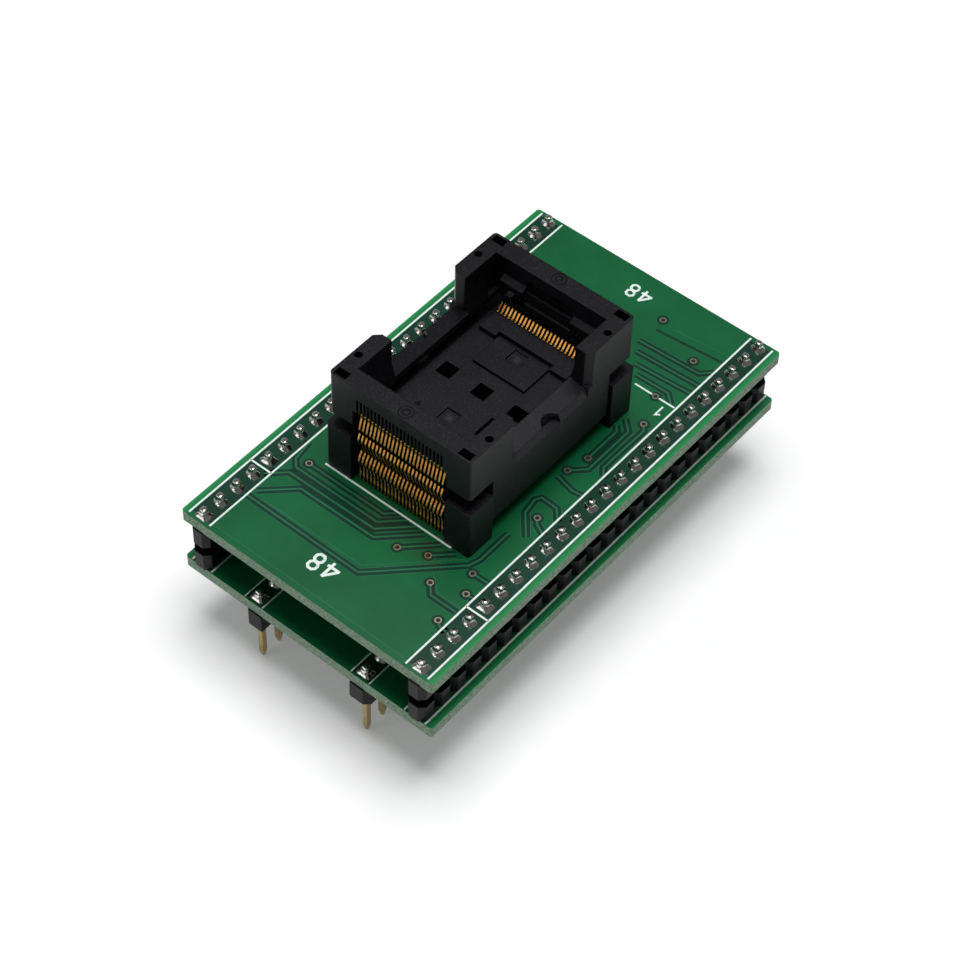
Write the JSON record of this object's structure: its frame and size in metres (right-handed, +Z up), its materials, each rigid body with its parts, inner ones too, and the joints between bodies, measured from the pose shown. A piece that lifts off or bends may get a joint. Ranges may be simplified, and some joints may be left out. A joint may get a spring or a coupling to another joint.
{
  "type": "ic programming adapter",
  "caption": "Two stacked green circuit boards on pin strips carry an open-top press-down socket that links a flat leaded chip to a programmer's dual-row socket",
  "frame": {"origin": "middle of the footprint at the height of the lower pins' tips", "axes": "X runs across the two pin rows, Y along them, Z up out of the socket's open top; the chip's first pin is at the far right"},
  "size_m": [0.0352, 0.061, 0.0331],
  "materials": {
    "board_green": "glass-epoxy laminate under green solder mask",
    "header_black": "black moulded nylon",
    "pin_gold": "gold-flashed brass pins",
    "socket_grey": "glass-filled charcoal moulding",
    "contact_gold": "gold-plated stamped copper alloy"
  },
  "bodies": {
    "base_module": {"lower_board": "board_green", "socket_strip_left": "header_black", "socket_strip_right": "header_black", "socket_posts_left": "pin_gold", "socket_posts_right": "pin_gold", "dip_header_left": "header_black", "dip_header_right": "header_black", "dip_pins_left": "pin_gold", "dip_pins_right": "pin_gold"},
    "upper_module": {"upper_board": "board_green", "pin_header_left": "header_black", "pin_header_right": "header_black", "header_pins_left": "pin_gold", "header_pins_right": "pin_gold", "socket_base": "socket_grey", "device_plate": "socket_grey", "contacts_near": "contact_gold", "contacts_far": "contact_gold"},
    "lid": {"socket_lid": "socket_grey"}
  },
  "joints": [
    {"name": "module_unplug", "type": "slide", "parent": "base_module", "child": "upper_module", "axis": [0, 0, 1], "range_m": [0, 0.0024]},
    {"name": "lid_press", "type": "slide", "parent": "upper_module", "child": "lid", "axis": [0, 0, -1], "range_m": [0, 0.0019], "stiffness_N_per_m": 400, "springref_m": -0.002}
  ]
}
